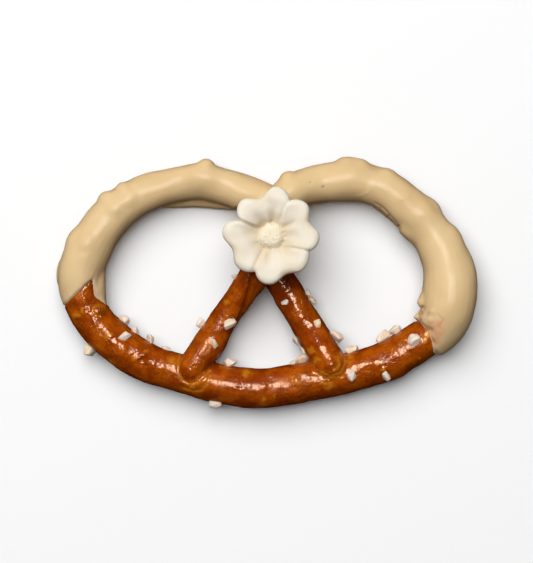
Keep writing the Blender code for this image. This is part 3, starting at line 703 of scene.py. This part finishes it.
def make_chocolate():
    """The set chocolate over both loops and the twist, with its feet, swellings and rounded lower edge."""
    courses = [smooth_course(left_dip()), smooth_course(right_dip())]
    feet = [smooth_course(foot) for foot in FEET]
    dab = ((*FLOWER_PLAN, DAB_HEIGHT), DAB_RADIUS, DAB_FLATNESS)
    chocolate = fuse("white_chocolate", courses + feet, COAT_VOXEL, COAT_SMOOTHING, [dab])
    mesh = chocolate.data
    points, out = positions(mesh), vectors(mesh, "normal")
    x, y = points[:, 0], points[:, 1]
    inside = inside_dip(points[:, :2])
    ragged = (x > RAGGED_CORNER[0]) & (y > RAGGED_CORNER[1])
    inside += np.where(ragged, RAGGED_STRAY, EDGE_STRAY) * waves(points, EDGE_WAVE, EDGE_SEED)
    lip = np.where(x > RIGHT_FROM, RIGHT_LIP, LIP)
    lip = np.where((x > INNER_STRIP[0]) & (x < INNER_STRIP[1]), INNER_LIP, lip)
    rise = np.clip(inside / np.where(x > RIGHT_FROM, RIGHT_LIP_WIDTH, LIP_WIDTH), -1.0, 1.0)
    rounded = 1.0 - np.sqrt(1.0 - (1.0 - np.maximum(rise, 0.0)) ** 2) - np.minimum(rise, 0.0) * 0.8
    height = layered_waves(points, COAT_WAVES) - (lip + LIP_SINK) * rounded
    for *plan, spread, proud in SWELLS:
        spot = perch(*plan, courses, (spread, spread))
        away = np.linalg.norm(points - np.array(spot), axis=1) / spread
        height += proud * np.exp(-(away**3) * 0.4)
    height += plan_relief(points, out, COAT_DOMES, COAT_CREASES)
    lift(mesh, points, out, height)
    shape = bmesh.new()
    shape.from_mesh(mesh)
    shape.verts.ensure_lookup_table()
    beyond = [v for v, d in zip(shape.verts, inside) if d < -CUT_BEYOND]
    bmesh.ops.delete(shape, geom=beyond, context="VERTS")
    loose = [v for v in shape.verts if not v.link_faces]
    bmesh.ops.delete(shape, geom=loose, context="VERTS")
    shape.to_mesh(mesh)
    shape.free()
    points, out = positions(mesh), vectors(mesh, "normal")
    set_attributes(
        mesh,
        thin=spots(strayed(points, COAT_SEED), THIN_COAT, 2),
        bare=spots(points, BARE_COAT) * facing_up(out, 4, 1),
        # painted shade inside the deep pits
        pit=spots(points, [dome[:3] for dome in COAT_DOMES if dome[3] < DEEP_PIT]),
        # flank: painted shade, darker where the chocolate turns away from the top
        flank=np.clip(1.0 - out[:, 2] * 1.1, 0, 1),
        rim=np.exp(-np.maximum(inside_dip(points[:, :2]), 0.0) / RIM_WIDTH),
    )
    return chocolate


def ramp(x):
    """A soft step from 0 to 1."""
    x = np.clip(x, 0.0, 1.0)
    return x * x * (3 - 2 * x)


def flower_outline(angle):
    """The flower's radius at an angle in degrees."""
    origin = PETALS[0][0]
    petal = sum((angle - origin) % 360 >= start - origin for start, *_ in PETALS[1:])
    start, end, first, second, between = PETALS[petal]
    t = ((angle - start) % 360) / (end - start)
    notch = NOTCHES[petal] * (1 - t) + NOTCHES[(petal + 1) % len(NOTCHES)] * t
    low = notch + (between - notch) * math.sin(math.pi * t)
    flank = t < 0.25 or t > 0.75
    swell = abs(math.sin(2 * math.pi * t)) ** (0.75 if flank else 2.0)
    return low + (first + (second - first) * t - low) * swell


def polar_line(points):
    return [(r * math.cos(math.radians(a)), r * math.sin(math.radians(a))) for a, r in points]


def seam_step(plan, line, step):
    """A height step across a seam, fading at its inner end: one petal's edge over the next."""
    total = np.full(len(plan), 1e9)
    side = np.zeros(len(plan))
    for a, b in zip(line, line[1:]):
        distance, _ = segment_distance(plan, a, b)
        cross = (b[0] - a[0]) * (plan[:, 1] - a[1]) - (b[1] - a[1]) * (plan[:, 0] - a[0])
        nearer = distance < total
        total[nearer] = distance[nearer]
        side[nearer] = np.sign(cross[nearer])
    signed = total * side * (1 if step > 0 else -1)
    height = abs(step) * (1 / (1 + np.exp(-signed / SEAM_SOFTNESS)))
    height *= np.exp(-np.maximum(signed, 0) / SEAM_FADE)
    dip = abs(step) * 0.8 * np.exp(-((signed + 0.25) ** 2) / 0.09)
    beyond = np.linalg.norm(plan, axis=1)
    return (height - dip) * ramp((beyond - 2.2) / 0.8) * (total < 4)


def flower_face(plan, share):
    """The face's height over its base, the painted shade in its furrows and round its well, and the button's
    mask.
    """
    radius = np.linalg.norm(plan, axis=1)
    well_share = WELL_RADIUS / (radius / np.maximum(share, 1e-6))
    rise = ramp((share - well_share) / (CREST_SHARE - well_share))
    height = WELL_HEIGHT + (CREST_HEIGHT - WELL_HEIGHT) * rise**0.6
    fall = np.clip((share - CREST_SHARE) / (1 - CREST_SHARE), 0, 1)
    height -= EDGE_DROP * (1 - np.sqrt(1 - 0.96 * fall**2)) + 0.1 * fall
    spread = np.stack([plan[:, 0], plan[:, 1], np.zeros(len(plan))], 1)
    # painted shade round the well, and below in the furrows
    hollow_shade = (0.6 + 0.35 * waves(spread, 1.6, 20)) * np.exp(-(((radius - WELL_RADIUS) / 0.7) ** 2))
    for start, end, half_width, depth in FURROWS:
        away, t = segment_distance(plan, *polar_line((start, end)))
        height -= FURROW_DEPTH * depth * (1 - t) ** 1.2 * np.exp(-((away / half_width) ** 2))
        furrow_shade = (1 - t) * np.exp(-((away / (1.7 * half_width)) ** 2))
        hollow_shade = np.maximum(hollow_shade, furrow_shade * min(1.0, depth / 0.45))
    for line, step in SEAMS:
        height += seam_step(plan, polar_line(line), step)
    height += layered_waves(spread, PETAL_WAVES)
    button = BUTTON_HEIGHT - 0.25 * (radius / BUTTON_RADIUS) ** 4 + layered_waves(spread, BUTTON_WAVES)
    uneven = BUTTON_RADIUS + 0.06 * waves(spread, 0.9, 24)
    edge = 1 / (1 + np.exp((radius - uneven) / BUTTON_EDGE))
    pits = ramp(1 - abs(radius - WELL_RADIUS) / 0.6) * np.clip(waves(spread, 0.8, 25) - 0.3, 0, 1)
    return (height - 0.25 * pits) * (1 - edge) + button * edge, hollow_shade * (1 - edge), edge


def make_flower():
    """The moulded flower: columns of points from the button over the petals' rims to the foot."""
    columns = FLOWER_COLUMNS
    shares = np.concatenate([np.linspace(*rows) for rows in FACE_ROWS])
    angles = np.linspace(PETALS[0][0], PETALS[-1][1], columns, endpoint=False)
    outline = np.array([flower_outline(a) for a in angles])
    outline = np.mean([np.roll(outline, k) for k in (-2, -1, 0, 1, 2)], axis=0)
    rays = np.stack([np.cos(np.radians(angles)), np.sin(np.radians(angles))], 1)
    grid = rays[:, None, :] * (outline[:, None] * shares[None, :])[:, :, None]
    share_grid = np.broadcast_to(shares, (columns, len(shares)))
    face = flower_face(grid.reshape(-1, 2), share_grid.ravel())
    height, hollow_shade, button = (values.reshape(columns, -1) for values in face)
    under = []
    for fraction, share in UNDERSIDE:
        rise = ramp((share * outline - FLOWER_FOOT) / (outline - FLOWER_FOOT))
        low = (height[:, -1] - PETAL_THICKNESS) * rise
        z = height[:, -1] * (1 - fraction) + low * fraction if share > 0.9 else low
        under.append((share * outline, z))
    under.append((np.full(columns, FLOWER_FOOT), np.zeros(columns)))
    shape = bmesh.new()
    rows = []
    for i in range(columns):
        row = [(*grid[i, k], height[i, k]) for k in range(len(shares))]
        row += [(rays[i, 0] * r[i], rays[i, 1] * r[i], z[i]) for r, z in under]
        rows.append([shape.verts.new(np.array(p) * MM) for p in row])
    top = shape.verts.new((0, 0, float(height[:, 0].mean()) * MM))
    bottom = shape.verts.new((0, 0, 0))
    for row, following in zip(rows, rows[1:] + rows[:1]):
        shape.faces.new((top, row[0], following[0]))
        shape.faces.new((bottom, following[-1], row[-1]))
        for k in range(len(row) - 1):
            shape.faces.new((row[k], row[k + 1], following[k + 1], following[k]))
    bmesh.ops.recalc_face_normals(shape, faces=shape.faces)
    shape.transform(Matrix.Translation(Vector((*FLOWER_PLAN, FLOWER_BASE)) * MM))
    flower = new_object("sugar_flower", mesh_from_bmesh("flower", shape))
    for label, values in (("hollow_shade", hollow_shade), ("button", button)):
        over_all = np.pad(values, ((0, 0), (0, len(under)))).ravel()
        set_attributes(flower.data, **{label: np.append(over_all, (values[0, 0], 0.0))})
    return flower


class Nodes:
    """Short ways to add nodes to a tree."""

    def __init__(self, tree):
        self.tree = tree

    def fill(self, inputs, values):
        """Gives each input its value, or joins it to the socket that comes instead of one."""
        for key, value in values.items():
            if isinstance(value, bpy.types.NodeSocket):
                self.tree.links.new(value, inputs[key])
            elif inputs[key].type == "RGBA":
                inputs[key].default_value = (*value, 1.0)
            else:
                inputs[key].default_value = value

    def add(self, kind, values=None, **settings):
        node = self.tree.nodes.new(kind)
        for key, value in settings.items():
            setattr(node, key, value)
        self.fill(node.inputs, values or {})
        return node

    def ends(self):
        """What a group is given, and its results."""
        return self.add("NodeGroupInput").outputs, self.add("NodeGroupOutput").inputs

    def math(self, operation, *values):
        return self.add("ShaderNodeMath", dict(enumerate(values)), operation=operation).outputs[0]

    def spread(self, value, low, high, to_low=0.0, to_high=1.0):
        values = dict(enumerate((value, low, high, to_low, to_high)))
        return self.add("ShaderNodeMapRange", values, interpolation_type="SMOOTHSTEP").outputs[0]

    def mix(self, share, first, second):
        return self.add("ShaderNodeMix", {0: share, 6: first, 7: second}, data_type="RGBA").outputs[2]

    def noise(self, vector, scale, detail=2.0, roughness=0.5):
        values = {"Vector": vector, "Scale": scale, "Detail": detail, "Roughness": roughness}
        return self.add("ShaderNodeTexNoise", values).outputs["Fac"]

    def cells(self, vector, scale, feature="DISTANCE_TO_EDGE"):
        values = {"Vector": vector, "Scale": scale}
        return self.add("ShaderNodeTexVoronoi", values, feature=feature).outputs["Distance"]

    def vector(self, *values):
        return self.add("ShaderNodeCombineXYZ", dict(enumerate(values))).outputs[0]

    def bump(self, height, strength, distance):
        values = {"Height": height, "Strength": strength, "Distance": distance}
        return self.add("ShaderNodeBump", values).outputs[0]

    def attribute(self, name):
        return self.add("ShaderNodeAttribute", attribute_name=name).outputs["Fac"]

    def part(self, name, share):
        """That share of an attribute."""
        return self.math("MULTIPLY", self.attribute(name), share)

    def millimetres(self):
        """Object coordinates in millimetres."""
        values = {0: self.add("ShaderNodeTexCoord").outputs["Object"], "Scale": 1 / MM}
        return self.add("ShaderNodeVectorMath", values, operation="SCALE").outputs[0]


def new_material(name):
    made = bpy.data.materials.new(name)
    made.use_nodes = True
    return made, Nodes(made.node_tree), made.node_tree.nodes["Principled BSDF"].inputs


def baked_skin_group():
    """Baked skin: streaks along the strand, blisters and fine cracks, as colour masks and a relief."""
    group = bpy.data.node_groups.new("baked_skin", "ShaderNodeTree")
    kinds = {"Along": "Float", "Around": "Float", "Position": "Vector", "Blistered": "Float"}
    add_sockets(group, "INPUT", kinds)
    add_sockets(group, "OUTPUT", dict.fromkeys(("Streaks", "Mottle", "Relief", "Cracks", "Specks"), "Float"))
    nodes = Nodes(group)
    given, result = nodes.ends()
    along, position = given["Along"], given["Position"]
    turn = nodes.math("MULTIPLY", given["Around"], math.pi)
    across = nodes.math("MULTIPLY", nodes.math("SINE", turn), 3.0)
    upward = nodes.math("MULTIPLY", nodes.math("COSINE", turn), 3.0)
    streaks = nodes.noise(nodes.vector(nodes.math("MULTIPLY", along, 0.12), across, upward), 2.2, 3.0, 0.6)
    dents = nodes.noise(position, 0.45, 2.0, 0.5)
    narrow = [nodes.math("MULTIPLY", value, 0.35) for value in (across, upward)]
    wrinkles = nodes.noise(nodes.vector(along, *narrow), 1.5, 2.0, 0.3)
    patches = nodes.spread(nodes.noise(position, 0.3, 1.0), 0.42, 0.62)
    cracks = nodes.spread(nodes.cells(position, 1.4), 0.0, 0.07, 1.0, 0.0)
    cracks = nodes.math("MULTIPLY", cracks, patches)
    pores = nodes.spread(nodes.cells(position, 2.1, "F1"), 0.1, 0.3, 1.0, 0.0)
    pores = nodes.math("MULTIPLY", pores, nodes.spread(nodes.noise(position, 0.8, 1.0), 0.46, 0.56))
    ripples = nodes.noise(position, 1.3, 2.0, 0.4)
    beads = nodes.spread(nodes.cells(position, 1.7, "F1"), 0.0, 0.75, 1.0, 0.0)
    bubbles = nodes.math("MULTIPLY", beads, given["Blistered"])
    relief = nodes.math("MULTIPLY", streaks, 0.03)
    for layer, depth in (
        (dents, 0.35), (ripples, 0.22), (wrinkles, 0.38), (cracks, -0.05), (pores, -0.14), (bubbles, 0.26),
    ):
        relief = nodes.math("MULTIPLY_ADD", layer, depth, relief)
    nodes.fill(result, {
        "Streaks": streaks, "Relief": relief, "Cracks": cracks,
        "Mottle": nodes.noise(position, 0.35, 3.0, 0.55),
        "Specks": nodes.spread(nodes.noise(position, 2.4, 1.0), 0.66, 0.74, 0.0, 0.6),
    })
    return group


def crust_material():
    """Glossy brown lye crust, paler on its blisters, with painted shade in its furrow and pits and painted
    shade darkening it towards the table.
    """
    made, nodes, shader = new_material("lye_crust")
    given = {label: nodes.attribute(label.lower()) for label in ("Along", "Around", "Blistered")}
    given["Position"] = nodes.millimetres()
    skin = nodes.add("ShaderNodeGroup", given, node_tree=baked_skin_group()).outputs
    mottle = nodes.spread(skin["Mottle"], 0.36, 0.66)
    colour = nodes.mix(mottle, (0.25, 0.032, 0.0003), (0.425, 0.081, 0.0012))
    colour = nodes.mix(nodes.spread(skin["Streaks"], 0.42, 0.72, 0.0, 0.5), colour, (0.17, 0.024, 0.0005))
    colour = nodes.mix(nodes.part("pale", 0.6), colour, (0.60, 0.22, 0.01))
    colour = nodes.mix(nodes.math("MULTIPLY", skin["Cracks"], 0.35), colour, (0.5, 0.15, 0.006))
    # painted shade in the furrow, the pits and beside the blisters
    colour = nodes.mix(nodes.part("painted_shade", 0.6), colour, (0.12, 0.024, 0.001))
    colour = nodes.mix(skin["Specks"], colour, (0.10, 0.015, 0.0005))
    colour = nodes.mix(nodes.attribute("broken"), colour, (0.68, 0.31, 0.08))
    # painted shade: the crust is darkened towards the table, on its flanks and underside
    low = nodes.spread(nodes.attribute("height"), 0.4, 4.8, 0.85, 0.0)
    nodes.fill(shader, {
        "Base Color": nodes.mix(low, colour, (0.21, 0.02, 0.0003)),
        "Normal": nodes.bump(skin["Relief"], 0.8, 0.0003),
        "Roughness": nodes.spread(nodes.attribute("dull"), 0.0, 1.0, 0.15, 0.23),
        "Specular IOR Level": 0.5, "Specular Tint": (1.0, 0.74, 0.53),
    })
    return made


def chocolate_material():
    """Beige white chocolate, pink where it is thin and brown where the crust shows through, with painted
    shade on its sides and in its deep pits.
    """
    made, nodes, shader = new_material("set_chocolate")
    position = nodes.millimetres()
    mottle = nodes.noise(position, 0.12, 2.0)
    colour = nodes.mix(nodes.spread(mottle, 0.35, 0.65), (0.70, 0.496, 0.254), (0.735, 0.538, 0.285))
    colour = nodes.mix(nodes.part("rim", 0.5), colour, (0.74, 0.55, 0.38))
    colour = nodes.mix(nodes.part("thin", 0.9), colour, (0.75, 0.34, 0.18))
    # painted shade in the deep pits
    colour = nodes.mix(nodes.part("pit", 0.6), colour, (0.3, 0.17, 0.07))
    colour = nodes.mix(nodes.attribute("bare"), colour, (0.22, 0.05, 0.01))
    nodes.fill(shader, {
        # painted shade on the sides, from the flank mask
        "Base Color": nodes.mix(nodes.part("flank", 0.5), colour, (0.61, 0.37, 0.18)),
        "Normal": nodes.bump(nodes.noise(position, 1.2, 3.0), 0.25, 0.0001),
        "Roughness": 0.33, "Specular IOR Level": 0.14,
        "Subsurface Weight": 0.15, "Subsurface Radius": (1.0, 0.6, 0.3), "Subsurface Scale": 0.001,
    })
    return made


def sugar_material():
    """Matt off-white sugar, with painted shade in its hollows, and crumbly on the button."""
    made, nodes, shader = new_material("sugar_paste")
    # painted shade in the furrows and round the well
    colour = nodes.mix(nodes.attribute("hollow_shade"), (0.825, 0.755, 0.63), (0.69, 0.55, 0.35))
    crumbly = nodes.math("MULTIPLY_ADD", nodes.attribute("button"), 1.7, 0.4)
    grain = nodes.math("MULTIPLY", nodes.noise(nodes.millimetres(), 3.6, 3.0, 0.6), crumbly)
    nodes.fill(shader, {
        "Base Color": nodes.mix(nodes.attribute("button"), colour, (0.88, 0.775, 0.595)),
        "Normal": nodes.bump(grain, 0.6, 0.0001), "Roughness": 0.6, "Specular IOR Level": 0.3,
        "Subsurface Weight": 0.5, "Subsurface Radius": (1.0, 0.8, 0.6), "Subsurface Scale": 0.0015,
    })
    return made


def salt_material():
    """Cloudy crystals with stains of the crust."""
    made, nodes, shader = new_material("coarse_salt")
    position = nodes.millimetres()
    grain = nodes.noise(position, 2.6, 3.0, 0.6)
    colour = nodes.mix(nodes.spread(grain, 0.35, 0.65), (0.73, 0.57, 0.45), (0.84, 0.71, 0.60))
    stains = nodes.spread(nodes.noise(position, 0.16, 1.0), 0.5, 0.62, 0.0, 0.6)
    nodes.fill(shader, {
        "Base Color": nodes.mix(stains, colour, (0.76, 0.58, 0.36)),
        "Normal": nodes.bump(grain, 0.3, 0.0001), "Roughness": 0.45,
        "Subsurface Weight": 0.6, "Subsurface Radius": (1.0, 0.7, 0.6), "Subsurface Scale": 0.0008,
    })
    return made


def wear(obj, finish):
    obj.data.materials.clear()
    obj.data.materials.append(finish)
    obj.data.shade_smooth()


def make_stage():
    """A pale floor just under the pretzel and soft light from above, a little from +Y."""
    shape = bmesh.new()
    bmesh.ops.create_grid(shape, x_segments=1, y_segments=1, size=1.5)
    floor = new_object("floor", mesh_from_bmesh("floor", shape))
    floor.location.z = -FLOOR_GAP * MM
    floor.visible_diffuse = floor.visible_glossy = False
    made, nodes, shader = new_material("floor_white")
    nodes.fill(shader, {"Base Color": (0.93, 0.93, 0.93), "Roughness": 0.9, "Specular IOR Level": 0.1})
    floor.data.materials.append(made)
    add_light("key", (-0.18, 0.41, 0.80), size=1.05, watts=11.7, gleams=False)
    add_light("softbox", (-0.01, 0.12, 0.48), size=0.23, watts=2.9, fills=False)
    world = bpy.data.worlds.new("studio")
    bpy.context.scene.world = world
    world.use_nodes = True
    sky = world.node_tree.nodes["Background"].inputs
    Nodes(world.node_tree).fill(sky, {"Color": (1.0, 1.0, 1.0), "Strength": 0.11})
    world.cycles_visibility.glossy = False


def add_light(name, place, size, watts, gleams=True, fills=True):
    """A round lamp aimed at the pretzel. One may give light without highlights, or highlights alone."""
    lamp = bpy.data.lights.new(name, "AREA")
    lamp.shape = "DISK"
    lamp.size = size
    lamp.energy = watts
    holder = new_object(name, lamp)
    holder.location = place
    holder.rotation_euler = (-Vector(place)).to_track_quat("-Z", "Y").to_euler()
    holder.visible_glossy = gleams
    holder.visible_diffuse = fills


def make_camera():
    """Straight above, one pixel to the right of the origin."""
    data = bpy.data.cameras.new("overhead")
    holder = new_object("overhead", data)
    holder.location = (PIXEL * MM, 0.0, CAMERA_HEIGHT)
    data.sensor_width = SENSOR
    data.lens = SENSOR * (CAMERA_HEIGHT - SCALE_HEIGHT) / (IMAGE_ROWS * PIXEL * MM)
    data.clip_start, data.clip_end = 0.01, 10.0
    bpy.context.scene.camera = holder


def main():
    bpy.context.scene.view_settings.view_transform = "Standard"
    salt_finish = salt_material()
    crust, salt, chocolate, flower = make_crust(), make_salt(salt_finish), make_chocolate(), make_flower()
    for piece, slot, finish in (
        (crust, "dough", crust_material()),
        (salt, "dough", salt_finish),
        (chocolate, "coating", chocolate_material()),
        (flower, "flower", sugar_material()),
    ):
        wear(piece, finish)
        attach(piece, "root")
    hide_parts("dough")
    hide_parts("dough")
    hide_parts("coating")
    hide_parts("flower")
    make_stage()
    make_camera()


main()
